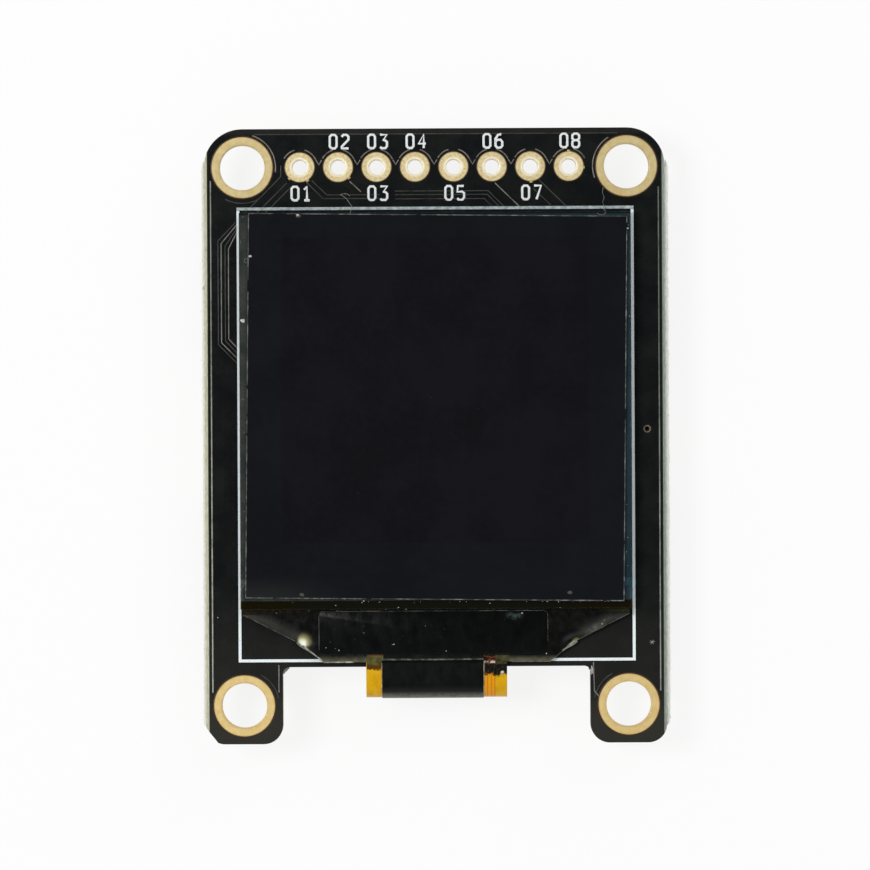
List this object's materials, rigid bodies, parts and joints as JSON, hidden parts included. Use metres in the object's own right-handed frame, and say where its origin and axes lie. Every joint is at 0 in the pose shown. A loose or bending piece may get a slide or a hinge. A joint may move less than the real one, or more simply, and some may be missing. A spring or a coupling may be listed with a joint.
{
  "type": "small oled module",
  "caption": "Small square display on a notched circuit board, with its film folded round the lower edge and cable sockets on the back.",
  "frame": {"origin": "centre of the four mounting holes, at the board's front face", "axes": "+Z out of the display, +Y towards the row of pin holes, +X to the right of the display as its viewer sees it"},
  "size_m": [0.0308, 0.0406, 0.006],
  "materials": {
    "solder_mask": "satin",
    "gold_plating": "satin",
    "white_print": "matte",
    "black_tape": "matte",
    "glass": "polished",
    "drying_film": "matte",
    "light_layers": "polished",
    "polariser": "polished",
    "amber_film": "satin",
    "film_coat": "satin",
    "silicon": "polished",
    "solder": "satin",
    "socket_plastic": "satin",
    "tinned_metal": "satin",
    "chip_plastic": "matte",
    "ferrite": "matte",
    "coil_wire": "gloss",
    "capacitor_ceramic": "satin",
    "resistor_ceramic": "satin"
  },
  "bodies": {
    "root": {"board": "solder_mask", "mounting_rings": "gold_plating", "pin_pads": "gold_plating", "outline_print": "white_print", "mounting_tape": "black_tape", "cap_glass": "glass", "drying_film": "drying_film", "light_layers": "light_layers", "front_glass": "glass", "polariser": "polariser", "film": "amber_film", "film_coat": "film_coat", "driver_chip": "silicon", "chip_tape": "black_tape", "tail_tape": "black_tape", "tail_pads": "gold_plating", "tail_solder": "solder", "left_socket": "socket_plastic", "right_socket": "socket_plastic", "left_contacts": "tinned_metal", "right_contacts": "tinned_metal", "left_anchors": "tinned_metal", "right_anchors": "tinned_metal", "level_shifter": "chip_plastic", "level_shifter_legs": "tinned_metal", "regulator": "chip_plastic", "regulator_legs": "tinned_metal", "boost_converter": "chip_plastic", "boost_converter_legs": "tinned_metal", "boost_diode": "chip_plastic", "boost_diode_legs": "tinned_metal", "transistors": "chip_plastic", "transistor_legs": "tinned_metal", "coil_shield": "ferrite", "coil_drum": "ferrite", "coil_winding": "coil_wire", "coil_terminals": "tinned_metal", "large_capacitors": "capacitor_ceramic", "small_capacitors": "capacitor_ceramic", "capacitor_ends": "tinned_metal", "resistors": "resistor_ceramic", "resistor_ends": "tinned_metal", "jumper_pads": "gold_plating"}
  },
  "joints": []
}
